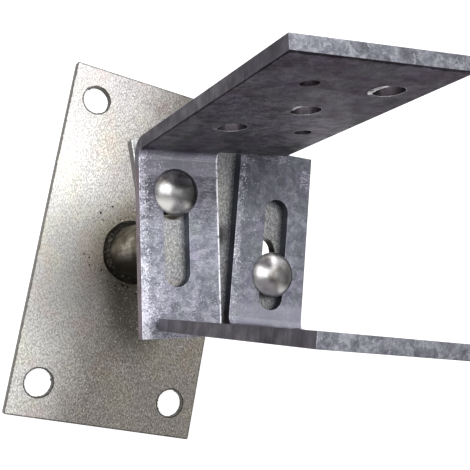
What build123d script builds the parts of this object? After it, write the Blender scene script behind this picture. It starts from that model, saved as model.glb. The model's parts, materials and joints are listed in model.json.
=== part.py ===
from build123d import *
from math import cos, radians, sin, tan
import os

# An adjustable post base in welded and bolted steel. A drilled base plate carries a short
# round tube with a slotted support plate welded across its top. Two bent L brackets stand on
# the support plate, feet side by side and flanges facing each other, and a round-head bolt
# through each foot's long slot clamps it down. The post stands between the two flanges.
# Millimetres, +Z up. The origin is the middle of the base plate's underside, +X runs across
# the base plate and +Y along it, towards the bracket that is called rear.

# Base plate
BASE_WIDTH = 100.0
BASE_LENGTH = 185.0
BASE_THICKNESS = 4.0
BASE_CORNER_RADIUS = 1.0
ANCHOR_HOLE_DIAMETER = 14.5
ANCHOR_INSET_X = 14.0
ANCHOR_INSET_Y = 17.5

# Tube and its welds
TUBE_DIAMETER = 28.0
TUBE_WALL = 3.0
TUBE_LENGTH = 104.0
BASE_WELD_LEG = 3.0
PLATE_WELD_LEG = 2.6
PLATE_WELD_SPAN = 112.0

# Support plate: it is welded on a little off the tube's centre, and turned
SUPPORT_WIDTH = 65.0
SUPPORT_LENGTH = 82.0
SUPPORT_THICKNESS = 5.0
SUPPORT_CORNER_RADIUS = 1.0
SUPPORT_OFFSET = 2.9
SUPPORT_TURN = 20.6
SUPPORT_SLOT_START = 11.7
SUPPORT_SLOT_TRAVEL = 12.3

# Brackets: one bent sheet each, the foot narrower than the flange
SHEET = 5.0
FLANGE_WIDTH = 66.0
FLANGE_HEIGHT = 121.0
FOOT_WIDTH = 34.3
FOOT_LENGTH = 75.0
BEND_RADIUS = 4.0
FREE_EDGE_LIFT = 3.0
REAR_LEAN = 3.0
FRONT_LEAN = 1.25
FOOT_SLOT_INSET = 15.5
FOOT_SLOT_START = 13.1
FOOT_SLOT_TRAVEL = 36.1
FEET_GAP = 0.4

# Holes of a flange: three screw holes on one diagonal, two pilot holes on the other
SCREW_HOLE_DIAMETER = 11.0
PILOT_HOLE_DIAMETER = 6.5
HOLE_COLUMN = 21.5
HOLE_SPACING_ACROSS = 30.0
LOW_HOLE_HEIGHT = 41.0
HIGH_HOLE_BELOW_TOP = 25.0

# Bolts, washers and nuts
BOLT_DIAMETER = 8.0
BOLT_LENGTH = 25.0
BOLT_HEAD_DIAMETER = 19.4
BOLT_HEAD_HEIGHT = 6.0
BOLT_NECK = 8.0
BOLT_NECK_LENGTH = 4.0
BOLT_TIP_CHAMFER = 0.8
SLOT_CLEARANCE = 3.0
WASHER_DIAMETER = 16.0
WASHER_BORE = 8.4
WASHER_THICKNESS = 1.6
NUT_ACROSS_FLATS = 13.0
NUT_HEIGHT = 6.5
NUT_CHAMFER = 0.7
THREAD_CLEARANCE = 0.02

# Where the photograph shows the loose pieces set
REAR_TURN = 12.6
FRONT_TURN = 5.9
REAR_BOLT_SETTING = 16.9
FRONT_BOLT_SETTING = 22.7
REAR_FOOT_SETTING = 16.6
FRONT_FOOT_SETTING = 22.45

# Broken edges of the cut plates
EDGE_BREAK = 0.4

SLOT_WIDTH = BOLT_DIAMETER + SLOT_CLEARANCE
TUBE_TOP = BASE_THICKNESS + TUBE_LENGTH
SUPPORT_TOP = TUBE_TOP + SUPPORT_THICKNESS
FOOT_TOP = SUPPORT_TOP + SHEET
HALF_BOLT_SPACING = FOOT_WIDTH - FOOT_SLOT_INSET + FEET_GAP / 2


def support_place():
    """The support plate's own frame: its centre on its underside, long side along Y."""
    return Location((0, 0, TUBE_TOP), (0, 0, SUPPORT_TURN)) * Location((0, SUPPORT_OFFSET, 0))


def bolt_place(side, setting, height):
    """A point on a bolt's axis; side is -1 for the rear bolt and 1 for the front one."""
    return support_place() * Location((side * HALF_BOLT_SPACING, -side * setting, height - TUBE_TOP))


def bracket_place(side, setting, foot_setting, turn):
    """A bracket's own frame, with its slot over its bolt."""
    bolt = bolt_place(side, setting, SUPPORT_TOP).position
    turned = Location((bolt.X, bolt.Y, SUPPORT_TOP), (0, 0, turn))
    return turned * Location((-FOOT_SLOT_INSET, foot_setting, 0))


def break_edges(plate):
    """Breaks the edges round a plate's upper face."""
    upper_face = plate.faces().sort_by(Axis.Z)[-1]
    return chamfer(upper_face.outer_wire().edges(), EDGE_BREAK)


def base_plate():
    outline = RectangleRounded(BASE_WIDTH, BASE_LENGTH, BASE_CORNER_RADIUS)
    spacing_x = BASE_WIDTH - 2 * ANCHOR_INSET_X
    spacing_y = BASE_LENGTH - 2 * ANCHOR_INSET_Y
    holes = GridLocations(spacing_x, spacing_y, 2, 2) * Circle(ANCHOR_HOLE_DIAMETER / 2)
    return break_edges(extrude(outline - holes, BASE_THICKNESS))


def tube_stem():
    ring = Circle(TUBE_DIAMETER / 2) - Circle(TUBE_DIAMETER / 2 - TUBE_WALL)
    return Pos(0, 0, BASE_THICKNESS) * extrude(ring, TUBE_LENGTH)


def weld_section(leg, corner_height, up):
    """A fillet weld's section against the tube, from the plate's face at corner_height."""
    radius = TUBE_DIAMETER / 2
    toe = (radius + leg, corner_height)
    top = (radius, corner_height + up * leg)
    return make_face(Plane.XZ * Polyline((radius, corner_height), toe, top, close=True))


def base_weld():
    return revolve(weld_section(BASE_WELD_LEG, BASE_THICKNESS, 1), Axis.Z)


def plate_weld():
    """Two beads under the support plate, left out beside the nuts so that they can slide."""
    section = weld_section(PLATE_WELD_LEG, TUBE_TOP, -1)
    bead = revolve(section, Axis.Z, PLATE_WELD_SPAN)
    first = SUPPORT_TURN + 45 - PLATE_WELD_SPAN / 2
    return [Rot(0, 0, first + half_turn) * bead for half_turn in (0, 180)]


def support_plate():
    outline = RectangleRounded(SUPPORT_WIDTH, SUPPORT_LENGTH, SUPPORT_CORNER_RADIUS)
    slot = Rot(0, 0, 90) * SlotCenterToCenter(SUPPORT_SLOT_TRAVEL, SLOT_WIDTH)
    middle = SUPPORT_SLOT_START + SUPPORT_SLOT_TRAVEL / 2
    for side in (-1, 1):
        outline -= Pos(side * HALF_BOLT_SPACING, -side * middle) * slot
    return support_place() * break_edges(extrude(outline, SUPPORT_THICKNESS))


def bracket_profile(lean):
    """The folded sheet's section: foot along -Y, flange rising and leaning towards +Y."""
    slope = tan(radians(lean))
    across = Vector(cos(radians(lean)), -sin(radians(lean)))
    inner_corner = Vector(0, SHEET)
    inner_top = Vector(FLANGE_HEIGHT * slope, SHEET + FLANGE_HEIGHT)
    outer_top = inner_top + across * SHEET
    outer_start = inner_corner + across * SHEET
    outer_corner = Vector(outer_start.X - outer_start.Y * slope, 0)
    outline = Polyline(
        (-FOOT_LENGTH, 0), outer_corner, outer_top, inner_top, inner_corner, (-FOOT_LENGTH, SHEET), close=True
    )
    section = make_face(outline)
    corners = section.vertices()
    section = fillet(corners.sort_by_distance(inner_corner)[0], BEND_RADIUS)
    outer = section.vertices().sort_by_distance(outer_corner)[0]
    return fillet(outer, BEND_RADIUS + SHEET)


def flange_plane(lean):
    """The flange's inner face: X along the fold, Y up the flange, from the foot's top."""
    angle = radians(lean)
    return Plane(origin=(0, 0, SHEET), x_dir=(1, 0, 0), z_dir=(0, -cos(angle), sin(angle)))


def bracket(lean):
    """A bracket in its own frame: the fold along X, the foot towards -Y, underside at Z 0."""
    solid = extrude(Plane.YZ * bracket_profile(lean), FLANGE_WIDTH)
    reach = FOOT_LENGTH + FLANGE_HEIGHT
    beside_foot = Box(
        FLANGE_WIDTH, reach, SHEET + FREE_EDGE_LIFT, align=(Align.MIN, Align.CENTER, Align.MIN)
    )
    solid -= Pos(FOOT_WIDTH, 0, 0) * beside_foot
    slot_middle = FOOT_SLOT_START + FOOT_SLOT_TRAVEL / 2
    slot = Rot(0, 0, 90) * SlotCenterToCenter(FOOT_SLOT_TRAVEL, SLOT_WIDTH)
    solid -= extrude(Pos(FOOT_SLOT_INSET, -slot_middle) * slot, SHEET)
    return solid - flange_holes(lean)


def flange_holes(lean):
    left, right = HOLE_COLUMN, HOLE_COLUMN + HOLE_SPACING_ACROSS
    low, high = LOW_HOLE_HEIGHT, FLANGE_HEIGHT - HIGH_HOLE_BELOW_TOP
    middle = ((left + right) / 2, (low + high) / 2)
    screws = [Pos(*spot) * Circle(SCREW_HOLE_DIAMETER / 2) for spot in ((left, low), middle, (right, high))]
    pilots = [Pos(*spot) * Circle(PILOT_HOLE_DIAMETER / 2) for spot in ((left, high), (right, low))]
    return [extrude(flange_plane(lean) * hole, SHEET, both=True) for hole in screws + pilots]


def placed_bracket(side):
    if side < 0:
        return bracket_place(side, REAR_BOLT_SETTING, REAR_FOOT_SETTING, REAR_TURN) * bracket(REAR_LEAN)
    turn = FRONT_TURN + 180
    return bracket_place(side, FRONT_BOLT_SETTING, FRONT_FOOT_SETTING, turn) * bracket(FRONT_LEAN)


def bolt():
    """A round-head bolt with a square neck, hanging from the underside of its head at Z 0.

    The sphere of the dome lies on its side, which keeps its pole and seam off the head.
    """
    half_head = BOLT_HEAD_DIAMETER / 2
    dome_radius = (half_head**2 + BOLT_HEAD_HEIGHT**2) / (2 * BOLT_HEAD_HEIGHT)
    crown = BOLT_HEAD_HEIGHT - dome_radius
    dome = Pos(0, 0, crown) * Rot(90, 0, 0) * Sphere(dome_radius)
    above = Cylinder(half_head * 2, BOLT_HEAD_HEIGHT, align=(Align.CENTER, Align.CENTER, Align.MIN))
    neck = extrude(Rectangle(BOLT_NECK, BOLT_NECK), -BOLT_NECK_LENGTH)
    shank = extrude(Circle(BOLT_DIAMETER / 2), -BOLT_LENGTH)
    shank = chamfer(shank.edges().group_by(Axis.Z)[0], BOLT_TIP_CHAMFER)
    return dome & above, neck + shank


def washer():
    ring = Circle(WASHER_DIAMETER / 2) - Circle(WASHER_BORE / 2)
    return extrude(ring, -WASHER_THICKNESS)


def nut():
    """A hexagon nut hanging below Z 0, its corners turned down at both faces."""
    flats = RegularPolygon(NUT_ACROSS_FLATS / 2, 6, major_radius=False)
    blank = extrude(flats - Circle(BOLT_DIAMETER / 2 + THREAD_CLEARANCE), -NUT_HEIGHT)
    corner = NUT_ACROSS_FLATS / 2 / cos(radians(30))
    turned = Cylinder(corner, NUT_HEIGHT, align=(Align.CENTER, Align.CENTER, Align.MAX))
    return blank & chamfer(turned.edges(), NUT_CHAMFER, NUT_CHAMFER / 2)


def fasteners(side, setting, turn):
    """The bolt, washer and nut of one side, in place and turned with their bracket."""
    facing = Rot(0, 0, turn - SUPPORT_TURN)
    head, stud = bolt()
    at_head = bolt_place(side, setting, FOOT_TOP) * facing
    at_washer = bolt_place(side, setting, TUBE_TOP)
    at_nut = bolt_place(side, setting, TUBE_TOP - WASHER_THICKNESS) * facing
    return at_head * (head + stud), at_washer * washer(), at_nut * nut()


def main():
    rear_bolt, rear_washer, rear_nut = fasteners(-1, REAR_BOLT_SETTING, REAR_TURN)
    front_bolt, front_washer, front_nut = fasteners(1, FRONT_BOLT_SETTING, FRONT_TURN)
    nodes = {
        "base_plate": base_plate(),
        "tube_stem": tube_stem(),
        "base_weld": base_weld(),
        "plate_weld": Compound(children=plate_weld()),
        "support_plate": support_plate(),
        "rear_bracket": placed_bracket(-1),
        "front_bracket": placed_bracket(1),
        "rear_bolt": rear_bolt,
        "front_bolt": front_bolt,
        "rear_washer": rear_washer,
        "front_washer": front_washer,
        "rear_nut": rear_nut,
        "front_nut": front_nut,
    }
    os.makedirs("parts", exist_ok=True)
    for name, solid in nodes.items():
        export_step(solid, os.path.join("parts", f"{name}.step"))


main()
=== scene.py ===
import json
from math import atan2, cos, pi, radians, sin, tau
from random import Random
from types import SimpleNamespace

import bmesh
import bpy
from mathutils import Matrix, Vector, noise


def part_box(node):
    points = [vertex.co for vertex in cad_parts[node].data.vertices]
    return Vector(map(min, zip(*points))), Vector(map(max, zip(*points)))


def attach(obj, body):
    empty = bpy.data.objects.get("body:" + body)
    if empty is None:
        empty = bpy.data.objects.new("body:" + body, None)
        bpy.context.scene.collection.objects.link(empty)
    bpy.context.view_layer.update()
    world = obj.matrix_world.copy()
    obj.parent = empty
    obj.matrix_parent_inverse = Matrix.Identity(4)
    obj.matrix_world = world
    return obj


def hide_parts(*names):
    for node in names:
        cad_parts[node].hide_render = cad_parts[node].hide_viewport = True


# The looks of an adjustable post base: a speckled base plate with a short welded tube, a slotted
# support plate, and two folded galvanised brackets held by round-head bolts. Metres, in the frame
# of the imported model, but for the textures and sections, which count in millimetres.

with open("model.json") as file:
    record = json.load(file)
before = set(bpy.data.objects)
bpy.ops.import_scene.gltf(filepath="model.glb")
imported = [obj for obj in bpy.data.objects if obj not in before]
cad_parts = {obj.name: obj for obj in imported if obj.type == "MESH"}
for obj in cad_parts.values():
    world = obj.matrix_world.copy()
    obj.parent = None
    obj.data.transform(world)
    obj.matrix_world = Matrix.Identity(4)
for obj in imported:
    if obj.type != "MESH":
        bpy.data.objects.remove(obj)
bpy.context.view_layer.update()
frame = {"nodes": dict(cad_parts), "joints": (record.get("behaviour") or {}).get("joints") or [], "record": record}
NODES = frame["nodes"]
JOINTS = {joint["name"]: joint for joint in frame["joints"]}
MOUNTS = frame["record"]["mounts"]
SIDES = ("rear", "front")
MM = 0.001

# Camera, where the photograph was taken from
CAMERA_PLACE = (-0.141607, -0.059764, 0.434022)
CAMERA_TURN = (radians(5.2669), radians(-26.0875), radians(10.7165))
CAMERA_LENS = 65.07
CAMERA_NEAR = 0.01
OBJECT_MIDDLE = (0.0, 0.0, 0.11)

# Studio
WHITE = (1.0, 1.0, 1.0, 1.0)
FLOOR_SIZE = 6.0
FLOOR_DROP = 0.4 * MM
FLOOR_GREY = (0.42, 0.42, 0.42, 1.0)
FLOOR_GLOW = 0.86
SOFT_FILL = 0.30

# Softened edges of the steel, and how near corners count as one place or one level, in metres
PLATE_EDGE = 0.30 * MM
SHEET_EDGE = 0.45 * MM
NUT_EDGE = 0.25 * MM
WASHER_EDGE = 0.125 * MM
JOINED_WITHIN = 0.01 * MM
SAME_LEVEL = 0.02 * MM

# Base plate with its anchor holes, and the tube, in millimetres
BASE_LOW, BASE_HIGH = (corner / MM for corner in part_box("base_plate"))
HOLE_PATTERN = next(mount for mount in MOUNTS if mount["name"] == "anchor_holes")["dims"]
HOLE_SPACING = Vector((HOLE_PATTERN["spacing_x_mm"], HOLE_PATTERN["spacing_y_mm"], 0.0))
HOLE_RADIUS = HOLE_PATTERN["hole_r_mm"]
TUBE_RADIUS = (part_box("tube_stem")[1].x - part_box("tube_stem")[0].x) / 2 / MM
TUBE_MIDDLE = Vector((0.0, 0.0, 0.0))

# Bracket in its own frame, in millimetres: across and along its foot, and above its underside
FOOT_WIDTH = 34.3
SHEET_THICKNESS = 5.0
FOLD_START = 66.0
FLANGE_TOP = 126.0
SCREW_ZONE_ACROSS = ((3.0, 4.0), (63.0, 62.0))
SCREW_ZONE_UP = ((20.0, 24.0), (117.0, 115.0))

# Bolt, in millimetres, its heights counted from the underside of its head
HEAD_RIM = 0.5
HEAD_ROWS = 26
HEAD_COLUMNS = 80
NECK_SIDE = 8.0
NECK_LENGTH = 4.0
NECK_EDGE = 0.5
THREAD_PITCH = 1.25
THREAD_DEPTH = 0.68
THREAD_FLANK = 1.35
THREAD_ROWS = 10
THREAD_COLUMNS = 40
TIP_CHAMFER = 0.8

# Weld beads, in millimetres
BEAD_STEPS = 260
BEAD_SECTION = 12
BEAD_RIPPLE = 0.16
BEAD_RIPPLE_PITCH = 1.9
BEAD_WANDER = 0.45
BEAD_BULGE = 0.35
BEAD_SINK = 0.2
BEAD_TAPER_STEPS = 7.0

# Weld spatter, in millimetres from the middle of the tube, degrees, and shares of a drop's radius
SPATTER_COUNT = 26
SPATTER_NEAREST = 18.5
SPATTER_SPREAD = 11.0
SPATTER_SIZES = (0.22, 0.62)
SPATTER_ARC = (120, 300)
SPATTER_WARP = 0.22
SPATTER_FLATNESS = 0.62
SPATTER_STANDING = 0.25

# Burrs round the anchor holes, in millimetres
BURR_STEPS = 120
BURR_HEIGHT = 0.16
BURR_BREADTH = 0.5
BURR_REACH = 0.55
LOW_BURR_RISE = 2.4 * BURR_HEIGHT

# Lips round the flanges' screw holes, in millimetres
LIP_STEPS = 72
LIP_HEIGHT = 0.75
LIP_BREADTH = 1.6


# Reading the frame


def node_points(name, keep=lambda point: True):
    """The corners of a node's mesh, those that keep accepts."""
    return [vertex.co for vertex in NODES[name].data.vertices if keep(vertex.co)]


def bracket_frame(side):
    """A bracket's turn about Z, and the outer corner of its foot's free end."""
    outward = Vector(JOINTS[f"{side}_foot_slide"]["axis"])
    turn = atan2(-outward.x, outward.y)
    back = Matrix.Rotation(-turn, 3, "Z")
    own = [back @ point for point in node_points(f"{side}_bracket")]
    lowest = Vector([min(point[axis] for point in own) for axis in range(3)])
    return turn, back.inverted() @ lowest


# Writing shader trees


def feed(tree, socket, value):
    """Gives an input its value, or the output that feeds it."""
    if isinstance(value, bpy.types.NodeSocket):
        tree.links.new(value, socket)
    else:
        socket.default_value = value


def put(tree, kind, inputs=None, **settings):
    """Adds a shader node with its settings and inputs."""
    node = tree.nodes.new("ShaderNode" + kind)
    for name, value in settings.items():
        setattr(node, name, value)
    for name, value in (inputs or {}).items():
        feed(tree, node.inputs[name], value)
    return node


def maths(tree, operation, *values):
    node = put(tree, "Math", operation=operation)
    for socket, value in zip(node.inputs, values):
        feed(tree, socket, value)
    return node.outputs[0]


def times(tree, first, *others):
    """The product of masks and shares."""
    for other in others:
        first = maths(tree, "MULTIPLY", first, other)
    return first


def inverse(tree, mask):
    """1 where a mask is 0, and 0 where it is 1."""
    return maths(tree, "SUBTRACT", 1.0, mask)


def total(tree, *parts):
    """The sum of shares, each a value and its weight."""
    result = 0.0
    for value, weight in parts:
        result = maths(tree, "MULTIPLY_ADD", value, weight, result)
    return result


def ragged(tree, value, pattern, reach):
    """A distance that a pattern of 0 to 1 makes uneven, by reach at most."""
    return maths(tree, "MULTIPLY_ADD", pattern, reach, value)


def length_of(tree, vector):
    return put(tree, "VectorMath", {0: vector}, operation="LENGTH").outputs["Value"]


def fade(tree, value, start, end):
    """0 on start's side and 1 on end's side, smooth between them."""
    limits = {"Value": value, "From Min": start, "From Max": end}
    return put(tree, "MapRange", limits, interpolation_type="SMOOTHSTEP").outputs["Result"]


def band(tree, value, comes, goes):
    """1 in the zone between two fades, each its start and end."""
    return times(tree, fade(tree, value, *comes), fade(tree, value, *goes))


def mixed(tree, factor, first, second, blend="MIX"):
    """Two colours mixed by a factor."""
    node = put(tree, "Mix", data_type="RGBA", blend_type=blend)
    for socket, value in zip((node.inputs[0], node.inputs[6], node.inputs[7]), (factor, first, second)):
        feed(tree, socket, value)
    return node.outputs[2]


def tinted(tree, mask, tone, tint, share=1.0):
    """A colour multiplied by a tint where the mask is 1, as far as the share says."""
    return mixed(tree, times(tree, mask, share), tone, (*tint, 1.0), "MULTIPLY")


def painted(tree, mask, tone, colour, share=1.0):
    """A colour covered by another where the mask is 1, as far as the share says."""
    return mixed(tree, times(tree, mask, share), tone, (*colour, 1.0))


def ramp(tree, value, *stops):
    """Colours along a value, each stop a place and a colour."""
    node = put(tree, "ValToRGB", {"Fac": value})
    steps = node.color_ramp.elements
    while len(steps) < len(stops):
        steps.new(0.5)
    for step, (place, colour) in zip(steps, stops):
        step.position = place
        step.color = (*colour, 1.0)
    return node.outputs["Color"]


def cloud(tree, place, scale, detail=3.0, roughness=0.55):
    """Noise of about 0 to 1, its scale in features a millimetre."""
    inputs = {"Vector": place, "Scale": scale, "Detail": detail, "Roughness": roughness}
    return put(tree, "TexNoise", inputs).outputs["Fac"]


def stretched(tree, place, scale):
    return put(tree, "Mapping", {"Vector": place, "Scale": scale}).outputs[0]


def new_group(name, amounts, outputs):
    """An empty node group that takes a place in millimetres, and amounts with their usual values."""
    group = bpy.data.node_groups.new(name, "ShaderNodeTree")
    group.interface.new_socket("Place", in_out="INPUT", socket_type="NodeSocketVector")
    for title, usual in amounts.items():
        socket = group.interface.new_socket(title, in_out="INPUT", socket_type="NodeSocketFloat")
        socket.default_value = usual
    for title in outputs:
        group.interface.new_socket(title, in_out="OUTPUT", socket_type="NodeSocketFloat")
    given = group.nodes.new("NodeGroupInput").outputs
    result = group.nodes.new("NodeGroupOutput").inputs
    return group, given, result


def use(tree, group, inputs):
    node = tree.nodes.new("ShaderNodeGroup")
    node.node_tree = group
    for name, value in inputs.items():
        feed(tree, node.inputs[name], value)
    return node.outputs


# Effects that several finishes share


def zinc_crystals():
    """Mottled hot-dip zinc: broad clouds, angular crystals and fine bright grains."""
    amounts = {"Crystal Size": 2.6, "Frost": 0.5}
    tree, given, result = new_group("zinc_crystals", amounts, ["Shade", "Glint", "Height"])
    place = given["Place"]
    wander = put(tree, "TexNoise", {"Vector": place, "Scale": 0.5, "Detail": 2.0}).outputs["Color"]
    centred = put(tree, "VectorMath", {0: wander, 1: (0.5, 0.5, 0.5)}, operation="SUBTRACT").outputs[0]
    bent = put(tree, "VectorMath", {0: centred, 1: (3.0, 3.0, 3.0), 2: place}, operation="MULTIPLY_ADD")
    density = maths(tree, "DIVIDE", 1.0, given["Crystal Size"])
    cells = put(tree, "TexVoronoi", {"Vector": bent.outputs[0], "Scale": density})
    crystal = put(tree, "SeparateColor", {"Color": cells.outputs["Color"]}).outputs["Red"]
    fine = cloud(tree, place, 1.1, 4.0, 0.72)
    broad = cloud(tree, place, 0.055, 3.0)
    medium = cloud(tree, place, 0.22, 3.0)
    shade = total(tree, (broad, 0.22), (medium, 0.20), (crystal, 0.14), (fine, 0.52))
    grain = cloud(tree, place, 1.7, 2.0, 0.6)
    patch = cloud(tree, place, 0.16, 2.0)
    rarity = total(tree, (given["Frost"], -0.24), (patch, -0.24), (1.0, 0.80))
    glint = fade(tree, grain, rarity, maths(tree, "ADD", rarity, 0.20))
    feed(tree, result["Shade"], shade)
    feed(tree, result["Glint"], glint)
    feed(tree, result["Height"], total(tree, (crystal, 0.25), (fine, 0.6), (broad, 1.2)))
    return tree


def edge_wear():
    """1 on the outer edges of a piece, broken up as handling wears them."""
    tree, given, result = new_group("edge_wear", {"Width": 0.5 * MM}, ["Wear"])
    rounded = put(tree, "Bevel", {"Radius": given["Width"]}, samples=6).outputs[0]
    plain = put(tree, "NewGeometry").outputs["Normal"]
    same = put(tree, "VectorMath", {0: rounded, 1: plain}, operation="DOT_PRODUCT").outputs["Value"]
    edge = fade(tree, same, 0.985, 0.80)
    broken = fade(tree, cloud(tree, given["Place"], 0.35, 4.0, 0.7), 0.34, 0.60)
    feed(tree, result["Wear"], maths(tree, "MULTIPLY", edge, broken))
    return tree


def scratches():
    """Thin straight scratches along X of the place, in scattered bundles."""
    tree, given, result = new_group("scratches", {"Amount": 0.5}, ["Mark"])
    lines = cloud(tree, stretched(tree, given["Place"], (0.05, 1.1, 1.1)), 1.0, 3.0, 0.8)
    off_middle = maths(tree, "ABSOLUTE", maths(tree, "SUBTRACT", lines, 0.5))
    thin = fade(tree, off_middle, 0.012, 0.003)
    bundle = cloud(tree, given["Place"], 0.11, 2.0)
    limit = total(tree, (given["Amount"], -0.35), (1.0, 0.72))
    kept = fade(tree, bundle, limit, maths(tree, "ADD", limit, 0.06))
    feed(tree, result["Mark"], maths(tree, "MULTIPLY", thin, kept))
    return tree


def shear_marks():
    """The striped break of a sheared edge; the stripes lie across the sheet, X runs along it."""
    tree, given, result = new_group("shear_marks", {}, ["Shade", "Height"])
    stripes = cloud(tree, stretched(tree, given["Place"], (1.1, 0.12, 0.12)), 1.0, 3.0, 0.75)
    blotches = cloud(tree, given["Place"], 0.14, 3.0)
    feed(tree, result["Shade"], total(tree, (stripes, 0.40), (blotches, 0.70)))
    feed(tree, result["Height"], stripes)
    return tree

def flecks():
    """The short bright and dark flecks of a plate that was blasted and brushed."""
    tree, given, result = new_group("flecks", {"Size": 1.0}, ["Shade", "Height"])
    density = maths(tree, "DIVIDE", 1.0, given["Size"])
    sized = put(tree, "VectorMath", {0: given["Place"], "Scale": density}, operation="SCALE").outputs[0]
    falling = {"Vector": sized, "Rotation": (0, 0, radians(32)), "Scale": (1.5, 0.75, 1.0)}
    rising = {"Vector": sized, "Rotation": (0, 0, radians(-40)), "Scale": (1.3, 0.8, 1.0)}
    first = cloud(tree, put(tree, "Mapping", falling).outputs[0], 1.0, 2.0, 0.6)
    second = cloud(tree, put(tree, "Mapping", rising).outputs[0], 1.2, 2.0, 0.6)
    tiny = cloud(tree, sized, 2.4, 2.0, 0.6)
    shade = total(tree, (first, 0.42), (second, 0.34), (tiny, 0.24))
    feed(tree, result["Shade"], fade(tree, shade, 0.38, 0.62))
    feed(tree, result["Height"], shade)
    return tree


def specks():
    """Sparse dark specks, each in its own cell."""
    tree, given, result = new_group("specks", {"Spacing": 20.0, "Size": 0.5}, ["Mark"])
    density = maths(tree, "DIVIDE", 1.0, given["Spacing"])
    cells = put(tree, "TexVoronoi", {"Vector": given["Place"], "Scale": density})
    away = maths(tree, "MULTIPLY", cells.outputs["Distance"], given["Spacing"])
    ragged = maths(tree, "MULTIPLY_ADD", cloud(tree, given["Place"], 1.5), 0.8, away)
    radius = maths(tree, "ADD", given["Size"], 0.4)
    feed(tree, result["Mark"], fade(tree, ragged, radius, maths(tree, "MULTIPLY", radius, 0.6)))
    return tree


CRYSTALS = zinc_crystals()
EDGES = edge_wear()
SCRATCHES = scratches()
SHEARED = shear_marks()
FLECKS = flecks()
SPECKS = specks()


# Finishes


def new_tree(owner):
    """The empty node tree of a material or world."""
    owner.use_nodes = True
    owner.node_tree.nodes.clear()
    return owner.node_tree


def new_finish(name):
    """A material with an empty Principled BSDF, and its tree."""
    material = bpy.data.materials.new(name)
    tree = new_tree(material)
    shader = put(tree, "BsdfPrincipled")
    put(tree, "OutputMaterial", {"Surface": shader.outputs[0]})
    return material, tree, shader


def own_place(tree, turn=0.0, corner=(0, 0, 0)):
    """A point's place in a piece's own frame, in millimetres."""
    given = put(tree, "TexCoord").outputs["Object"]
    inputs = {"Vector": given, "Location": corner, "Rotation": (0, 0, turn), "Scale": (MM, MM, MM)}
    return put(tree, "Mapping", inputs, vector_type="TEXTURE").outputs[0]


def own_facing(tree, turn=0.0):
    """The surface's direction in a piece's own frame."""
    inputs = {"Vector": put(tree, "TexCoord").outputs["Normal"], "Rotation": (0, 0, turn)}
    return put(tree, "Mapping", inputs, vector_type="TEXTURE").outputs[0]


def split(tree, vector):
    parts = put(tree, "SeparateXYZ", {"Vector": vector}).outputs
    return parts["X"], parts["Y"], parts["Z"]


def bumped(tree, height, strength, depth):
    """A normal from a height of 0 to 1 that stands for depth millimetres."""
    node = put(tree, "Bump", {"Height": height, "Strength": strength, "Distance": depth * MM})
    return node.outputs["Normal"]


def finish(tree, shader, colour, roughness, normal):
    """Gives a shader its varying colour, roughness and normal, as bare metal."""
    feed(tree, shader.inputs["Base Color"], colour)
    feed(tree, shader.inputs["Roughness"], roughness)
    feed(tree, shader.inputs["Normal"], normal)
    shader.inputs["Metallic"].default_value = 1.0


# Zinc of the brackets

# Each bracket's look. The rear foot's tones are painted lighter, with more painted glints, and the front foot's
# darker: painted light and shade on two copies of one zinc.
SHEET_LOOKS = {
    "rear": {
        "frost": 0.22,
        "rim_frost": 0.45,
        "end_frost": 0.28,
        "foot_tones": ((0.108, 0.112, 0.133), (0.212, 0.218, 0.257), (0.40, 0.405, 0.452)),
        "fold_shading": (0.44, 0.43, 0.43),
        "end_shade": (0.94, 0.94, 0.94),
        "rim_highlight": 0.36,
        "inner_dullness": 0.0,
        "corner_shade": 1.0,
        "top_tint": (0.53, 0.53, 0.53),
        "scratched": 0.85,
        "worn_rim": 0.9,
    },
    "front": {
        "frost": 0.06,
        "rim_frost": 0.30,
        "end_frost": 0.0,
        "foot_tones": ((0.078, 0.081, 0.097), (0.138, 0.142, 0.166), (0.235, 0.24, 0.27)),
        "fold_shading": (1.10, 1.10, 1.10),
        "end_shade": (0.60, 0.60, 0.60),
        "rim_highlight": 0.14,
        "inner_dullness": 1.0,
        "corner_shade": 0.3,
        "top_tint": (0.60, 0.60, 0.60),
        "scratched": 0.35,
        "worn_rim": 0.0,
    },
}


def bracket_spot(tree, side):
    """Where a point of a bracket lies and faces in the bracket's own frame, and the zones it is in."""
    turn, corner = bracket_frame(side)
    place = own_place(tree, turn, corner)
    across, along, height = split(tree, place)
    face_x, face_y, face_z = split(tree, own_facing(tree, turn))
    upright = fade(tree, maths(tree, "ABSOLUTE", face_z), 0.6, 0.4)
    low = fade(tree, height, SHEET_THICKNESS + 0.6, SHEET_THICKNESS)
    before_fold = fade(tree, along, FOLD_START + 3.0, FOLD_START)
    return SimpleNamespace(
        place=place,
        across=across,
        along=along,
        height=height,
        face_y=face_y,
        face_z=face_z,
        from_rim=across if side == "rear" else maths(tree, "SUBTRACT", FOOT_WIDTH, across),
        foot=fade(tree, height, SHEET_THICKNESS + 4.0, SHEET_THICKNESS + 1.0),
        free_end=fade(tree, along, 34.0, 12.0),
        outer_face=fade(tree, face_y, 0.3, 0.7),
        sheared=fade(tree, maths(tree, "ABSOLUTE", face_x), 0.6, 0.9),
        foot_wall=times(tree, upright, low, before_fold),
    )


def frosted_zinc(tree, spot, look):
    """The zinc's pattern, frosted at the outer rim and free end of the foot."""
    at_rim = fade(tree, spot.from_rim, 4.6, 2.6)
    at_side = fade(tree, spot.from_rim, 15.0, 6.0)
    frost = total(
        tree,
        (at_rim, look["rim_frost"]), (at_side, 0.26),
        (spot.free_end, look["end_frost"]), (1.0, look["frost"]),
    )
    mostly_foot = maths(tree, "MULTIPLY_ADD", spot.foot, 0.85, 0.15)
    inputs = {"Place": spot.place, "Crystal Size": 2.4, "Frost": times(tree, frost, mostly_foot)}
    return use(tree, CRYSTALS, inputs)


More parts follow.
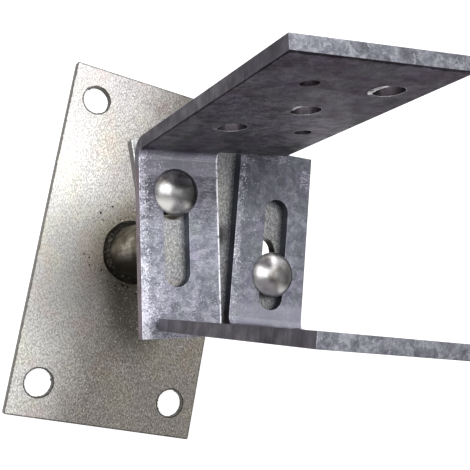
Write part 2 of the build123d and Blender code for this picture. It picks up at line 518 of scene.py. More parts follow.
def foot_colour(tree, spot, shade, look):
    """The foot: painted shading beside the fold and painted shade at its free end, a painted highlight along its
    rim and another along the fold.
    """
    tone = ramp(tree, shade, *zip((0.36, 0.54, 0.70), look["foot_tones"]))
    # Painted shade beside the fold on the rear foot and a little painted light there on the front one, then
    # painted shade at the free end.
    tone = tinted(tree, fade(tree, spot.along, 40.0, 60.0), tone, look["fold_shading"])
    tone = tinted(tree, spot.free_end, tone, look["end_shade"])
    # A painted highlight along the foot's rim.
    edge = ragged(tree, spot.from_rim, cloud(tree, spot.place, 0.30, 4.0, 0.7), 3.0)
    rim_highlight = times(tree, fade(tree, edge, 5.0, 3.0), fade(tree, shade, 0.47, 0.60))
    tone = painted(tree, rim_highlight, tone, (0.74, 0.74, 0.82), look["rim_highlight"])
    # A painted highlight along the fold.
    fold_highlight = times(tree, fade(tree, spot.along, 64.0, 66.5), fade(tree, spot.height, 9.0, 6.5))
    return painted(tree, fold_highlight, tone, (0.30, 0.30, 0.35), 0.55)


def flange_colour(tree, spot, shade, look):
    """The flange: painted shade towards the far top corner of its inner face, bruised, and a painted shadow line
    along the inner face's top and side edge.
    """
    tone = ramp(
        tree, shade,
        (0.36, (0.155, 0.149, 0.165)), (0.54, (0.252, 0.246, 0.266)), (0.70, (0.385, 0.378, 0.405)),
    )
    dulled = maths(tree, "MAXIMUM", spot.outer_face, look["inner_dullness"])
    tone = tinted(tree, dulled, tone, (0.92, 0.94, 0.95))
    inner_face = inverse(tree, spot.outer_face)
    # Painted shade towards the inner face's far top corner.
    outward = total(tree, (spot.across, 0.006), (spot.height, 0.0065))
    painted_corner_shade = times(tree, fade(tree, outward, 0.50, 0.95), inner_face)
    tone = tinted(tree, painted_corner_shade, tone, (0.42, 0.40, 0.42), look["corner_shade"])
    bruises = cloud(tree, stretched(tree, spot.place, (0.7, 1.0, 1.4)), 0.09, 4.0, 0.65)
    tone = tinted(tree, fade(tree, bruises, 0.50, 0.62), tone, (0.70, 0.62, 0.66), 0.75)
    # A painted shadow line along the top and the side edge of the inner face, as under a burr.
    frayed = cloud(tree, stretched(tree, spot.place, (1.0, 1.0, 0.6)), 0.35, 4.0, 0.7)
    near_top = fade(tree, ragged(tree, spot.height, frayed, 5.0), FLANGE_TOP, FLANGE_TOP + 1.2)
    near_side = fade(tree, ragged(tree, spot.across, frayed, -2.0), 0.4, -0.3)
    burr_shadow = maths(tree, "MAXIMUM", near_top, near_side)
    return tinted(tree, times(tree, burr_shadow, inner_face), tone, (0.22, 0.20, 0.22), 0.85)


def zinc_stains(tree, spot, tone):
    """Lilac and greenish stains."""
    lilac = fade(tree, cloud(tree, spot.place, 0.09, 3.0), 0.46, 0.66)
    tone = tinted(tree, lilac, tone, (1.05, 0.93, 1.12), 0.5)
    greened = fade(tree, cloud(tree, stretched(tree, spot.place, (1.0, 1.0, 0.4)), 0.07, 3.0), 0.55, 0.68)
    return tinted(tree, greened, tone, (0.80, 0.90, 0.76), 0.6)


def cut_faces(tree, spot, shade, tone, stripes, look):
    """Sheared edges, the walls of the foot and its slot, painted shade inside the flange's holes, and the flange's
    top.
    """
    cut_tone = ramp(
        tree, stripes,
        (0.30, (0.050, 0.046, 0.053)), (0.55, (0.096, 0.090, 0.102)), (0.80, (0.175, 0.168, 0.182)),
    )
    cut_tone = tinted(tree, fade(tree, spot.height, 60.0, 115.0), cut_tone, (0.75, 0.74, 0.76))
    tone = mixed(tree, spot.sheared, tone, cut_tone)
    tone = painted(tree, spot.foot_wall, tone, (0.078, 0.086, 0.104))
    outer_side = times(tree, spot.foot_wall, fade(tree, spot.across, 1.4, 0.8))
    tone = painted(tree, outer_side, tone, (0.17, 0.14, 0.15))
    # Painted shade on the walls of the flange's holes.
    off_face = fade(tree, maths(tree, "ABSOLUTE", spot.face_y), 0.75, 0.55)
    between_sides = band(tree, spot.across, *SCREW_ZONE_ACROSS)
    shaded_hole_wall = times(tree, off_face, between_sides, band(tree, spot.height, *SCREW_ZONE_UP))
    tone = painted(tree, shaded_hole_wall, tone, (0.030, 0.024, 0.028), 0.85)
    top = times(tree, fade(tree, spot.face_z, 0.6, 0.9), fade(tree, spot.height, 100.0, 110.0))
    top_tone = ramp(
        tree, shade,
        (0.34, (0.085, 0.085, 0.098)), (0.52, (0.240, 0.245, 0.285)), (0.68, (0.47, 0.48, 0.53)),
    )
    return mixed(tree, top, tone, tinted(tree, 1.0, top_tone, look["top_tint"]))


def handled(tree, spot, glint, tone, look):
    """Bright grains, fine scratches on the foot, dark scores on the flange, and worn edges."""
    tone = painted(tree, glint, tone, (0.70, 0.70, 0.78), 0.85)
    marks = use(tree, SCRATCHES, {"Place": spot.place, "Amount": look["scratched"]})["Mark"]
    tone = painted(tree, times(tree, marks, spot.foot), tone, (0.66, 0.66, 0.74), 0.7)
    slanted = put(tree, "Mapping", {"Vector": spot.place, "Rotation": (0, radians(28), 0)}).outputs[0]
    scores = use(tree, SCRATCHES, {"Place": slanted, "Amount": 0.8})["Mark"]
    tone = painted(tree, times(tree, scores, inverse(tree, spot.foot)), tone, (0.028, 0.026, 0.030), 0.55)
    wear = use(tree, EDGES, {"Place": spot.place, "Width": 0.55 * MM})["Wear"]
    tone = painted(tree, wear, tone, (0.45, 0.45, 0.50), 0.30)
    inner_rim = fade(tree, spot.across, FOOT_WIDTH - 0.9, FOOT_WIDTH - 0.5)
    upper_rim = times(tree, inner_rim, fade(tree, spot.height, SHEET_THICKNESS - 0.8, SHEET_THICKNESS - 0.4))
    broken = fade(tree, cloud(tree, spot.place, 0.5, 3.0), 0.30, 0.48)
    worn = times(tree, upper_rim, spot.foot, broken)
    return painted(tree, worn, tone, (0.85, 0.85, 0.90), look["worn_rim"])


def galvanised_sheet(side):
    """A bracket's zinc: mottled faces, a frosted foot, dull flange and striped sheared edges."""
    material, tree, shader = new_finish(f"galvanised_{side}")
    look = SHEET_LOOKS[side]
    spot = bracket_spot(tree, side)
    zinc = frosted_zinc(tree, spot, look)
    shade = zinc["Shade"]
    upward = put(tree, "CombineXYZ", {"X": spot.height, "Y": spot.along, "Z": spot.across}).outputs[0]
    cut = use(tree, SHEARED, {"Place": upward})
    glint = times(tree, zinc["Glint"], inverse(tree, maths(tree, "MAXIMUM", spot.sheared, spot.foot_wall)))

    flange_tone = flange_colour(tree, spot, shade, look)
    foot_tone = foot_colour(tree, spot, shade, look)
    tone = zinc_stains(tree, spot, mixed(tree, spot.foot, flange_tone, foot_tone))
    tone = cut_faces(tree, spot, shade, tone, cut["Shade"], look)
    tone = handled(tree, spot, glint, tone, look)

    roughness = total(tree, (shade, 0.25), (glint, -0.10), (1.0, 0.34))
    relief = total(tree, (zinc["Height"], 1.0), (glint, 0.4), (times(tree, cut["Height"], spot.sheared), 1.0))
    shader.inputs["Specular Tint"].default_value = (0.40, 0.40, 0.40, 1.0)
    finish(tree, shader, tone, roughness, bumped(tree, relief, 0.55, 0.12))
    return material


# Blasted steel of the plates


def plate_spot(tree):
    """Where a point of a flat plate lies, and the patterns and zones that its colours follow."""
    place = own_place(tree)
    x, y = split(tree, place)[:2]
    flat = put(tree, "CombineXYZ", {"X": x, "Y": y}).outputs[0]
    face_z = split(tree, own_facing(tree))[2]
    return SimpleNamespace(
        place=place,
        x=x,
        y=y,
        flat=flat,
        from_stem=length_of(tree, flat),
        edge=fade(tree, maths(tree, "ABSOLUTE", face_z), 0.6, 0.4),
        flecks=use(tree, FLECKS, {"Place": place, "Size": 0.95}),
        broad=cloud(tree, place, 0.05, 4.0),
        uneven=cloud(tree, place, 0.22, 4.0, 0.7),
    )


def speckled_colour(tree, spot, lit_tones, shaded_tones, edge_highlight_share):
    """Bright flecks, painted lighter at the left with a painted highlight near the left edge, and painted darker
    to the right, with olive and rosy stains.
    """
    shade = total(tree, (spot.flecks["Shade"], 0.78), (spot.broad, 0.26))
    places = (0.10, 0.50, 0.94)
    lit_tone = ramp(tree, shade, *zip(places, lit_tones))
    shaded_tone = ramp(tree, shade, *zip(places, shaded_tones))
    # Painted light and shade: lighter at the left, darker to the right.
    slope = total(tree, (spot.x, 1.0), (spot.y, -0.16))
    light_falloff = ragged(tree, slope, cloud(tree, spot.place, 0.06, 4.0), 16.0)
    tone = mixed(tree, fade(tree, light_falloff, -30.0, 14.0), lit_tone, shaded_tone)
    # A painted highlight near the left edge.
    painted_edge_highlight = times(tree, fade(tree, light_falloff, -30.0, -39.0), fade(tree, spot.y, -75.0, 10.0))
    tone = painted(tree, painted_edge_highlight, tone, (0.90, 0.89, 0.88), edge_highlight_share)
    olive = fade(tree, cloud(tree, spot.place, 0.05, 3.0), 0.48, 0.64)
    tone = tinted(tree, olive, tone, (0.97, 0.98, 0.84), 0.5)
    rosy = fade(tree, cloud(tree, stretched(tree, spot.place, (-1.0, 1.0, 1.0)), 0.06, 2.0), 0.55, 0.70)
    return tinted(tree, rosy, tone, (1.02, 0.88, 0.84), 0.5)


def specked(tree, place, tone, spacing, size, share):
    """A colour with sparse dark specks."""
    spots = use(tree, SPECKS, {"Place": place, "Spacing": spacing, "Size": size})["Mark"]
    return painted(tree, spots, tone, (0.05, 0.045, 0.04), share)


def burn_mask(tree, spot, reach):
    """1 where the plate is burnt black round the tube, out to about reach millimetres from its middle."""
    return fade(tree, ragged(tree, spot.from_stem, spot.uneven, 7.0), reach + 5.0, reach - 4.0)


def painted_tube_shadow_mask(tree, spot):
    """1 in the long painted shadow of the tube, running from the weld towards the front."""
    inputs = {
        "Vector": spot.flat, "Location": (6.0, -27.0, 0.0),
        "Rotation": (0, 0, radians(14)), "Scale": (15.0, 25.0, 1.0),
    }
    oval = put(tree, "Mapping", inputs, vector_type="TEXTURE").outputs[0]
    return fade(tree, ragged(tree, length_of(tree, oval), spot.uneven, 0.35), 1.65, 0.65)


def rim_mask(tree, spot):
    """1 on a thin ragged line along the base plate's rims and round its anchor holes."""
    far_x = maths(tree, "ABSOLUTE", spot.x)
    far_y = maths(tree, "ABSOLUTE", spot.y)
    from_side = maths(tree, "SUBTRACT", BASE_HIGH.x, far_x)
    from_end = maths(tree, "SUBTRACT", BASE_HIGH.y, far_y)
    quadrant = put(tree, "CombineXYZ", {"X": far_x, "Y": far_y}).outputs[0]
    ends = {0: quadrant, 1: HOLE_SPACING / 2}
    to_centre = put(tree, "VectorMath", ends, operation="DISTANCE").outputs["Value"]
    from_hole = maths(tree, "SUBTRACT", to_centre, HOLE_RADIUS)
    inset = maths(tree, "MINIMUM", maths(tree, "MINIMUM", from_side, from_end), from_hole)
    frayed = ragged(tree, inset, cloud(tree, spot.place, 0.6, 3.0, 0.7), -1.3)
    return fade(tree, frayed, 0.15, -0.20)


def cut_edges(tree, spot, tone):
    """The dark striped walls of a plate's rims and holes."""
    cut = use(tree, SHEARED, {"Place": spot.place})
    cut_tone = ramp(tree, cut["Shade"], (0.36, (0.022, 0.020, 0.019)), (0.74, (0.085, 0.078, 0.072)))
    return mixed(tree, spot.edge, tone, cut_tone)


def finish_plate(tree, shader, spot, tone, burn):
    """Darkened sharp edges, and the flecks' relief, rougher where the plate is burnt."""
    rim = use(tree, EDGES, {"Place": spot.place, "Width": 0.8 * MM})["Wear"]
    tone = painted(tree, rim, tone, (0.030, 0.027, 0.023), 0.85)
    roughness = total(tree, (spot.flecks["Shade"], -0.10), (burn, 0.15), (1.0, 0.46))
    finish(tree, shader, tone, roughness, bumped(tree, spot.flecks["Height"], 0.5, 0.10))


def speckled_base():
    """The base plate: painted lighter at the left and darker to the right, with painted shade round the tube and
    its painted shadow towards the front, burnt at its weld, with dark ragged rims.
    """
    material, tree, shader = new_finish("speckled_base")
    spot = plate_spot(tree)
    tone = speckled_colour(
        tree, spot,
        ((0.265, 0.260, 0.252), (0.455, 0.446, 0.435), (0.72, 0.71, 0.695)),
        ((0.090, 0.083, 0.073), (0.166, 0.153, 0.139), (0.29, 0.273, 0.25)),
        edge_highlight_share=0.12,
    )
    # Painted shade towards the upper right.
    painted_upper_shade = fade(tree, total(tree, (spot.y, 1.0), (spot.x, 0.5)), 5.0, 60.0)
    tone = tinted(tree, painted_upper_shade, tone, (0.72, 0.71, 0.72))
    tone = specked(tree, spot.place, tone, 26.0, 0.35, 0.8)

    # Painted shade round the foot of the tube.
    painted_tube_shade = fade(tree, ragged(tree, spot.from_stem, spot.broad, 10.0), 41.0, 18.0)
    tone = tinted(tree, painted_tube_shade, tone, (0.50, 0.47, 0.38), 0.8)
    burn = burn_mask(tree, spot, 14.0)
    tone = painted(tree, burn, tone, (0.020, 0.018, 0.014), 0.9)
    # The tube's painted shadow towards the front.
    tone = painted(tree, painted_tube_shadow_mask(tree, spot), tone, (0.036, 0.033, 0.027), 0.78)

    tone = cut_edges(tree, spot, tone)
    sparkle = fade(tree, cloud(tree, spot.place, 1.4, 2.0, 0.6), 0.63, 0.72)
    tone = painted(tree, times(tree, sparkle, inverse(tree, spot.edge)), tone, (0.74, 0.73, 0.70), 0.55)
    tone = painted(tree, rim_mask(tree, spot), tone, (0.035, 0.030, 0.025), 0.85)
    finish_plate(tree, shader, spot, tone, burn)
    return material


def speckled_support():
    """The support plate: the same steel, painted lighter at its left and darker to the right, burnt only close to
    the tube.
    """
    material, tree, shader = new_finish("speckled_support")
    spot = plate_spot(tree)
    tone = speckled_colour(
        tree, spot,
        ((0.20, 0.20, 0.207), (0.32, 0.32, 0.33), (0.50, 0.505, 0.51)),
        ((0.095, 0.095, 0.100), (0.168, 0.168, 0.176), (0.31, 0.31, 0.315)),
        edge_highlight_share=0.0,
    )
    tone = specked(tree, spot.place, tone, 26.0, 0.35, 0.8)
    burn = burn_mask(tree, spot, 6.0)
    tone = painted(tree, burn, tone, (0.020, 0.018, 0.014), 0.9)
    finish_plate(tree, shader, spot, cut_edges(tree, spot, tone), burn)
    return material


# Tube, welds and fasteners


def drawn_tube():
    """Smooth tube, sooty towards the welds at its ends, with painted shade on its front side."""
    material, tree, shader = new_finish("drawn_tube")
    place = own_place(tree)
    up = split(tree, place)[2]
    face_y = split(tree, own_facing(tree))[1]
    drawn = cloud(tree, stretched(tree, place, (0.7, 0.7, 0.03)), 1.0, 4.0, 0.6)
    broad = cloud(tree, place, 0.11, 4.0)
    shade = total(tree, (drawn, 0.30), (broad, 0.70))
    tone = ramp(
        tree, shade,
        (0.34, (0.062, 0.058, 0.050)), (0.50, (0.150, 0.142, 0.125)), (0.64, (0.34, 0.33, 0.30)),
    )
    uneven = cloud(tree, place, 0.25, 4.0, 0.7)
    low_soot = fade(tree, ragged(tree, up, uneven, 10.0), 22.0, 9.0)
    # Painted shade on the tube's front side.
    painted_front_shade = fade(tree, ragged(tree, face_y, uneven, 0.3), 0.0, -0.55)
    high_soot = fade(tree, up, 68.0, 76.0)
    soot_and_shade = maths(tree, "MAXIMUM", high_soot, maths(tree, "MAXIMUM", low_soot, painted_front_shade))
    tone = painted(tree, soot_and_shade, tone, (0.016, 0.014, 0.012), 0.88)
    tone = specked(tree, place, tone, 14.0, 0.3, 0.7)
    roughness = total(tree, (broad, 0.20), (soot_and_shade, 0.18), (1.0, 0.27))
    shader.inputs["Specular Tint"].default_value = (0.50, 0.48, 0.44, 1.0)
    finish(tree, shader, tone, roughness, bumped(tree, shade, 0.25, 0.10))
    return material


def burnt_weld():
    """Scaled, sooty weld metal with a few bright crests."""
    material, tree, shader = new_finish("burnt_weld")
    grain = cloud(tree, own_place(tree), 0.7, 4.0, 0.7)
    tone = ramp(
        tree, grain,
        (0.34, (0.004, 0.0036, 0.003)), (0.56, (0.011, 0.010, 0.008)), (0.76, (0.08, 0.073, 0.062)),
    )
    finish(tree, shader, tone, total(tree, (grain, 0.3), (1.0, 0.30)), bumped(tree, grain, 0.5, 0.12))
    return material


def painted_dome_light(tree, tone, front_reflection_share):
    """A bolt head's sides: painted shade at the right, painted highlights at the left and back, and a painted
    reflection in front.
    """
    face_x, face_y = split(tree, own_facing(tree))[:2]
    # Painted light and shade on the dome, set by the way each part faces.
    tone = tinted(tree, fade(tree, face_x, 0.05, 0.55), tone, (0.34, 0.33, 0.34))
    tone = tinted(tree, fade(tree, face_x, -0.05, -0.40), tone, (1.55, 1.55, 1.55))
    tone = tinted(tree, fade(tree, face_y, 0.15, 0.55), tone, (2.3, 2.3, 2.35))
    return painted(tree, fade(tree, face_y, -0.25, -0.60), tone, (0.85, 0.83, 0.80), front_reflection_share)


def fastener_steel(name, tone_low, tone_high, roughness, front_reflection_share=0.0, worn=0.4):
    """Steel of small parts, cloudy and stained, with bright worn edges; the last argument, for bolt heads, turns
    on their painted light and shade and sets the painted reflection in front.
    """
    material, tree, shader = new_finish(name)
    place = own_place(tree)
    broad = cloud(tree, place, 0.22, 3.0)
    fine = cloud(tree, place, 1.6, 3.0)
    tone = ramp(tree, broad, (0.35, tone_low), (0.65, tone_high))
    stained = fade(tree, cloud(tree, stretched(tree, place, (1.0, -1.0, 1.0)), 0.16, 3.0), 0.52, 0.68)
    tone = tinted(tree, stained, tone, (0.62, 0.56, 0.50), 0.8)
    if front_reflection_share:
        tone = painted_dome_light(tree, tone, front_reflection_share)
    wear = use(tree, EDGES, {"Place": place, "Width": 0.4 * MM})["Wear"]
    tone = painted(tree, wear, tone, (0.85, 0.85, 0.84), worn)
    level = total(tree, (fine, 0.10), (broad, 0.12), (1.0, roughness))
    finish(tree, shader, tone, level, bumped(tree, total(tree, (broad, 1.0), (fine, 0.15)), 0.35, 0.25))
    return material


# Building pieces


def new_piece(name, mesh_maker, body, material, replaced=()):
    """An object from a bmesh in millimetres, riding on its body."""
    shape = bmesh.new()
    mesh_maker(shape)
    bmesh.ops.scale(shape, vec=(MM, MM, MM), verts=shape.verts)
    bmesh.ops.recalc_face_normals(shape, faces=shape.faces)
    mesh = bpy.data.meshes.new(name)
    shape.to_mesh(mesh)
    shape.free()
    mesh.materials.append(material)
    piece = bpy.data.objects.new(name, mesh)
    bpy.context.scene.collection.objects.link(piece)
    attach(piece, body)
    if replaced:
        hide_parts(*replaced)
    return piece


def smooth(piece, angle):
    """Smooth shading, but for edges sharper than the angle."""
    for face in piece.data.polygons:
        face.use_smooth = True
    piece.data.set_sharp_from_angle(angle=angle)


def round_spot(centre, reach, angle, height):
    """The point at a reach and an angle round an upright axis, at a height above its centre."""
    return centre + Vector((reach * cos(angle), reach * sin(angle), height))


def skin_rings(shape, rings, looped=False):
    """Faces between rings of as many corners; the last ring joins the first, or both ends get a cap."""
    count = len(rings[0])
    following = rings[1:] + rings[:1] if looped else rings[1:]
    for low, high in zip(rings, following):
        for index in range(count):
            after = (index + 1) % count
            shape.faces.new((low[index], low[after], high[after], high[index]))
    if not looped:
        shape.faces.new(rings[0][::-1])
        shape.faces.new(rings[-1])


def lathe(shape, profile, columns, centre):
    """A closed turned form; its profile of radius and height starts and ends off the axis."""
    angles = [tau * step / columns for step in range(columns)]
    rings = []
    for radius, height in profile:
        rings.append([shape.verts.new(round_spot(centre, radius, angle, height)) for angle in angles])
    skin_rings(shape, rings)


def head_profile(radius, height):
    """A round head's section from the middle of its underside to its crown."""
    sphere = (radius**2 + height**2) / (2 * height)
    middle = height - sphere
    rim_rise = HEAD_RIM * 0.8 - middle
    rim_angle = atan2(rim_rise, (sphere**2 - rim_rise**2) ** 0.5)
    profile = [
        (NECK_SIDE * 0.45, 0.0),
        (radius - HEAD_RIM, 0.0),
        (radius - HEAD_RIM * 0.25, HEAD_RIM * 0.25),
    ]
    for row in range(HEAD_ROWS):
        angle = rim_angle + (pi / 2 - rim_angle) * row / HEAD_ROWS
        profile.append((sphere * cos(angle), middle + sphere * sin(angle)))
    return profile


def thread_shape(shape, radius, top, bottom, centre):
    """A shank with a helical thread, chamfered at its tip."""
    rows = round((top - bottom) / THREAD_PITCH * THREAD_ROWS)
    rings = []
    for row in range(rows + 1):
        height = bottom + (top - bottom) * row / rows
        ring = []
        for step in range(THREAD_COLUMNS):
            turned = step / THREAD_COLUMNS
            phase = (height / THREAD_PITCH - turned) % 1.0
            depth = THREAD_DEPTH * min(1.0, abs(2.0 * phase - 1.0) * THREAD_FLANK)
            reach = min(radius - depth, radius - TIP_CHAMFER + (height - bottom))
            ring.append(shape.verts.new(round_spot(centre, reach, tau * turned, height)))
        rings.append(ring)
    skin_rings(shape, rings)


def square_neck(shape, turn, centre):
    """The square neck below the head, its upright edges rounded."""
    made = bmesh.ops.create_cube(shape, size=1.0)["verts"]
    bmesh.ops.scale(shape, vec=(NECK_SIDE, NECK_SIDE, NECK_LENGTH), verts=made)
    bmesh.ops.rotate(shape, matrix=Matrix.Rotation(turn, 3, "Z"), verts=made)
    bmesh.ops.translate(shape, vec=centre + Vector((0, 0, -NECK_LENGTH / 2)), verts=made)
    corners = set(made)
    own_edges = [edge for edge in shape.edges if corners.issuperset(edge.verts)]
    upright = [edge for edge in own_edges if abs(edge.verts[0].co.z - edge.verts[1].co.z) > NECK_LENGTH / 2]
    bmesh.ops.bevel(shape, geom=upright, offset=NECK_EDGE, segments=3, affect="EDGES")


def round_head_bolt(side, material):
    """A bolt with its dome, square neck and cut thread, in place of the plain one."""
    low, high = (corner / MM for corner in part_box(f"{side}_bolt"))
    centre = Vector(JOINTS[f"{side}_swivel"]["pos_m"]) / MM
    turn = bracket_frame(side)[0]

    def shape_bolt(shape):
        lathe(shape, head_profile((high.x - low.x) / 2, high.z - centre.z), HEAD_COLUMNS, centre)
        square_neck(shape, turn, centre)
        thread_shape(shape, NECK_SIDE / 2, -NECK_LENGTH, low.z - centre.z, centre)

    plain = f"{side}_bolt"
    piece = new_piece(f"{side}_round_head_bolt", shape_bolt, plain, material, [plain])
    smooth(piece, radians(38))


def bead_point(angle, share, leg, foot, up, seed):
    """A point of a weld bead's face; share runs from 0 at its toe on the plate to 1 on the tube."""
    arc = angle * TUBE_RADIUS
    wander = noise.noise(Vector((cos(angle) * 2.2, sin(angle) * 2.2, seed)))
    swell = noise.noise(Vector((cos(angle) * 5.0, sin(angle) * 5.0, seed + 4.0)))
    reach = leg + BEAD_WANDER * wander
    crescent = (arc / BEAD_RIPPLE_PITCH + 0.35 * sin(pi * share) + 0.25 * swell) % 1.0
    ripple = BEAD_RIPPLE * (1.0 - crescent) ** 2 * sin(pi * share)
    bulge = (BEAD_BULGE + 0.2 * swell) * sin(pi * share) + ripple
    outward = reach * (1.0 - share) + bulge * 0.7
    rise = reach * share + bulge * 0.7
    return TUBE_RADIUS + outward, foot + up * rise


def weld_bead(shape, leg, foot, up, start, span, seed):
    """A bead round the tube from the angle start over span, its ends tapered if it has any."""
    whole = span > radians(359)
    steps = round(BEAD_STEPS * span / tau)
    inner = TUBE_RADIUS - BEAD_SINK
    rings = []
    for step in range(steps if whole else steps + 1):
        angle = start + span * step / steps
        from_end = min(step, steps - step) + 1.0
        taper = 1.0 if whole else min(1.0, from_end / BEAD_TAPER_STEPS) ** 0.5
        ring = []
        for row in range(BEAD_SECTION + 1):
            reach, height = bead_point(angle, row / BEAD_SECTION, leg, foot, up, seed)
            reach = TUBE_RADIUS + (reach - TUBE_RADIUS) * taper
            height = foot + (height - foot) * taper
            ring.append(shape.verts.new(round_spot(TUBE_MIDDLE, reach, angle, height)))
        for height in (ring[-1].co.z, foot):
            ring.append(shape.verts.new(round_spot(TUBE_MIDDLE, inner, angle, height)))
        rings.append(ring)
    skin_rings(shape, rings, looped=whole)


def base_bead(material):
    """The rippled bead at the tube's foot."""
    low, high = (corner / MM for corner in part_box("base_weld"))
    leg = (high.x - low.x) / 2 - TUBE_RADIUS

    def shape_bead(shape):
        weld_bead(shape, leg, low.z, 1.0, 0.0, tau, 1.7)

    piece = new_piece("base_weld_bead", shape_bead, "base", material, ["base_weld"])
    smooth(piece, radians(60))


def plate_beads(material):
    """The two beads under the support plate, where the plain ones are."""
    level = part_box("plate_weld")[1].z / MM
    ends = node_points("plate_weld", lambda point: abs(point.z - level * MM) < SAME_LEVEL)
    leg = max(Vector((point.x, point.y)).length for point in ends) / MM - TUBE_RADIUS
    angles = sorted(atan2(point.y, point.x) % tau for point in ends)
    gaps = [(after - before) % tau for before, after in zip(angles, angles[1:] + angles[:1])]
    widest = sorted(range(len(gaps)), key=lambda index: gaps[index])[-2:]
    starts = [angles[(index + 1) % len(angles)] for index in widest]
    span = (tau - sum(gaps[index] for index in widest)) / 2

    def shape_beads(shape):
        for start in starts:
            weld_bead(shape, leg, level, -1.0, start, span, 8.3)

    piece = new_piece("plate_weld_beads", shape_beads, "base", material, ["plate_weld"])
    smooth(piece, radians(60))


def weld_spatter(material):
    """Droplets that the welding left on the base plate."""
    draw = Random(41)

    def shape_drops(shape):
        for drop in range(SPATTER_COUNT):
            angle = radians(draw.uniform(*SPATTER_ARC)) if drop % 3 else draw.uniform(0, tau)
            away = SPATTER_NEAREST + SPATTER_SPREAD * draw.random() ** 2
            size = draw.uniform(*SPATTER_SIZES)
            made = bmesh.ops.create_icosphere(shape, subdivisions=2, radius=size)["verts"]
            for vertex in made:
                vertex.co *= 1.0 + SPATTER_WARP * noise.noise(vertex.co * 2.0 + Vector((drop, 0, 0)))
                vertex.co.z *= SPATTER_FLATNESS
            middle = round_spot(TUBE_MIDDLE, away, angle, BASE_HIGH.z + size * SPATTER_STANDING)
            bmesh.ops.translate(shape, vec=middle, verts=made)

    piece = new_piece("weld_spatter", shape_drops, "base", material)
    smooth(piece, radians(80))


def lip_ring(shape, middle, around, outward, radius, section):
    """One section of a lip round a hole, each corner past the hole's rim and above the face."""
    spots = [middle + around * (radius + past_rim) + outward * rise for past_rim, rise in section]
    return [shape.verts.new(spot) for spot in spots]


def anchor_hole_burrs(material):
    """The torn lip that cutting left round both rims of each anchor hole."""

    def lip(shape, middle, outward, seed):
        rings = []
        for step in range(BURR_STEPS):
            angle = tau * step / BURR_STEPS
            around = Vector((cos(angle), sin(angle), 0))
            rough = noise.noise(around * 3.0 + Vector((0, 0, seed)))
            torn = max(0.0, noise.noise(around * 9.0 + Vector((0, 0, seed + 9.0)))) ** 1.3
            reach = BURR_REACH * (0.12 + 0.25 * abs(rough) + 1.3 * torn)
            crest = BURR_HEIGHT * (0.5 + abs(rough) + torn)
            section = [
                (-reach, 0.02),
                (-reach * 0.5, crest),
                (BURR_BREADTH * 0.4, crest * 0.7),
                (BURR_BREADTH, 0.01),
                (BURR_BREADTH * 0.5, -0.05),
                (-reach * 0.6, -0.12),
            ]
            rings.append(lip_ring(shape, middle, around, outward, HOLE_RADIUS, section))
        skin_rings(shape, rings, looped=True)

    def shape_lips(shape):
        for column in (-0.5, 0.5):
            for row in (-0.5, 0.5):
                x = HOLE_SPACING.x * column
                y = HOLE_SPACING.y * row
                top = Vector((x, y, BASE_HIGH.z))
                bottom = Vector((x, y, BASE_LOW.z + LOW_BURR_RISE))
                lip(shape, top, Vector((0, 0, 1)), 3.0 * column + row)
                lip(shape, bottom, Vector((0, 0, -1)), 5.0 * column + row + 20.0)

    piece = new_piece("anchor_hole_burrs", shape_lips, "base", material)
    smooth(piece, radians(50))


def screw_hole_lips(side, material):
    """The raised lip that punching left at one side of each screw hole, on the face towards the post."""
    holes = [mount for mount in MOUNTS if mount["name"].startswith(f"{side}_screw")]

    def lip(shape, hole, seed):
        outward = Vector(hole["axis"])
        middle = Vector(hole["pos_m"]) / MM - outward * (hole["dims"]["length_mm"] / 2)
        onto = (-outward).to_track_quat("Z", "Y").to_matrix()
        rings = []
        for step in range(LIP_STEPS):
            angle = tau * step / LIP_STEPS
            around = Vector((cos(angle), sin(angle), 0))
            rough = 0.6 + 0.9 * abs(noise.noise(around * 3.2 + Vector((0, 0, seed))))
            crest = LIP_HEIGHT * rough * max(0.0, -(onto @ around).x) ** 6 - 0.04
            section = [
                (-0.02, -0.10),
                (0.0, crest * 0.8),
                (LIP_BREADTH * 0.3, crest),
                (LIP_BREADTH * 0.7, crest * 0.45),
                (LIP_BREADTH, -0.02),
                (0.4, -0.12),
            ]
            rings.append(lip_ring(shape, middle, onto @ around, -outward, hole["dims"]["r_mm"], section))
        skin_rings(shape, rings, looped=True)

    def shape_lips(shape):
        for seed, hole in enumerate(holes):
            lip(shape, hole, 7.0 * seed)

    piece = new_piece(f"{side}_screw_hole_lips", shape_lips, f"{side}_bracket", material)
    smooth(piece, radians(60))


def soften(name, width, material):
    """Rounds a CAD node's sharp edges with modifiers and gives it its finish."""
    node = NODES[name]
    node.data.materials.clear()
    node.data.materials.append(material)
    joined = node.modifiers.new("joined_corners", "WELD")
    joined.merge_threshold = JOINED_WITHIN
    rounded = node.modifiers.new("soft_edges", "BEVEL")
    rounded.width = width
    rounded.segments = 3
    rounded.limit_method = "ANGLE"
    rounded.angle_limit = radians(35)
    evened = node.modifiers.new("even_shading", "WEIGHTED_NORMAL")
    evened.keep_sharp = True
    for face in node.data.polygons:
        face.use_smooth = True


# The object

BASE_FINISH = speckled_base()
WELD_FINISH = burnt_weld()
# The rear bolt is painted darker and the front one lighter: painted shade and light on two copies of one steel.
BOLT_FINISHES = {
    "rear": fastener_steel("rear_bolt_painted_shaded", (0.105, 0.103, 0.105), (0.150, 0.148, 0.148), 0.17, 0.85),
    "front": fastener_steel("front_bolt_painted_lit", (0.150, 0.147, 0.146), (0.215, 0.210, 0.207), 0.20, 0.60),
}
# The washers are painted near black: painted shade under the support plate.
WASHER_FINISH = fastener_steel(
    "washer_painted_shade", (0.010, 0.009, 0.009), (0.022, 0.021, 0.020), 0.45, worn=0.0
)
LIP_FINISH = fastener_steel("punched_zinc", (0.20, 0.195, 0.21), (0.50, 0.49, 0.52), 0.22)
NUT_FINISH = fastener_steel("plated_nut", (0.36, 0.36, 0.35), (0.55, 0.55, 0.53), 0.26)

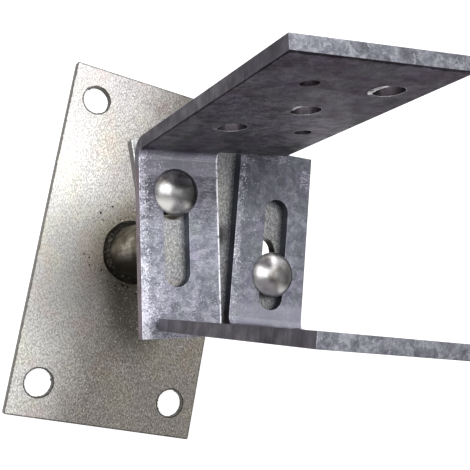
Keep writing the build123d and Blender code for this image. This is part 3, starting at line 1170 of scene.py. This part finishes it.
soften("base_plate", PLATE_EDGE, BASE_FINISH)
soften("support_plate", PLATE_EDGE, speckled_support())
soften("tube_stem", NUT_EDGE, drawn_tube())
for side in SIDES:
    soften(f"{side}_bracket", SHEET_EDGE, galvanised_sheet(side))
    soften(f"{side}_washer", WASHER_EDGE, WASHER_FINISH)
    soften(f"{side}_nut", NUT_EDGE, NUT_FINISH)
    round_head_bolt(side, BOLT_FINISHES[side])
    screw_hole_lips(side, LIP_FINISH)
base_bead(WELD_FINISH)
plate_beads(WELD_FINISH)
weld_spatter(WELD_FINISH)
anchor_hole_burrs(BASE_FINISH)


# The studio


def sees_backdrop(tree):
    """1 for the rays that see the white backdrop: the camera's, and those that metal or glass sends on."""
    rays = put(tree, "LightPath").outputs
    straight = maths(tree, "MAXIMUM", rays["Is Camera Ray"], rays["Is Transmission Ray"])
    return maths(tree, "MAXIMUM", straight, rays["Is Glossy Ray"])


def pale_floor():
    """A pale floor that the camera sees as white, with a faint shadow."""
    shape = bmesh.new()
    bmesh.ops.create_grid(shape, x_segments=1, y_segments=1, size=FLOOR_SIZE / 2)
    mesh = bpy.data.meshes.new("floor")
    shape.to_mesh(mesh)
    shape.free()
    floor = bpy.data.objects.new("floor", mesh)
    floor.location.z = -FLOOR_DROP
    bpy.context.scene.collection.objects.link(floor)
    material = bpy.data.materials.new("pale_floor")
    tree = new_tree(material)
    matt = put(tree, "BsdfDiffuse", {"Color": FLOOR_GREY})
    seen = times(tree, sees_backdrop(tree), FLOOR_GLOW)
    glow = put(tree, "Emission", {"Color": WHITE, "Strength": seen})
    both = put(tree, "AddShader", {0: matt.outputs[0], 1: glow.outputs[0]})
    put(tree, "OutputMaterial", {"Surface": both.outputs[0]})
    mesh.materials.append(material)


def white_surround():
    """A white backdrop for the camera, metal and glass, and a soft fill for the rest."""
    world = bpy.data.worlds.new("surround")
    bpy.context.scene.world = world
    tree = new_tree(world)
    strength = maths(tree, "MAXIMUM", sees_backdrop(tree), SOFT_FILL)
    glow = put(tree, "Background", {"Color": WHITE, "Strength": strength})
    put(tree, "OutputWorld", {"Surface": glow.outputs[0]})


def lamp(name, place, size, power):
    """A soft lamp that faces the object."""
    light = bpy.data.lights.new(name, "AREA")
    light.shape = "RECTANGLE"
    light.size, light.size_y = size
    light.energy = power
    holder = bpy.data.objects.new(name, light)
    holder.location = place
    aim = Vector(OBJECT_MIDDLE) - Vector(place)
    holder.rotation_euler = aim.to_track_quat("-Z", "Y").to_euler()
    bpy.context.scene.collection.objects.link(holder)


def camera():
    lens = bpy.data.cameras.new("photograph")
    lens.lens = CAMERA_LENS
    lens.clip_start = CAMERA_NEAR
    holder = bpy.data.objects.new("photograph", lens)
    holder.location = CAMERA_PLACE
    holder.rotation_euler = CAMERA_TURN
    bpy.context.scene.collection.objects.link(holder)
    bpy.context.scene.camera = holder


pale_floor()
white_surround()
lamp("window", (-0.93, 0.14, 0.93), (1.0, 1.2), 20.0)
lamp("skylight", (-0.06, 0.66, 1.106), (0.4, 0.4), 3.5)
lamp("low_back", (0.0, 1.14, 0.47), (0.8, 0.8), 4.5)
lamp("overhead", (0.03, 0.13, 0.66), (0.4, 0.4), 0.9)
camera()
bpy.context.scene.view_settings.view_transform = "Standard"
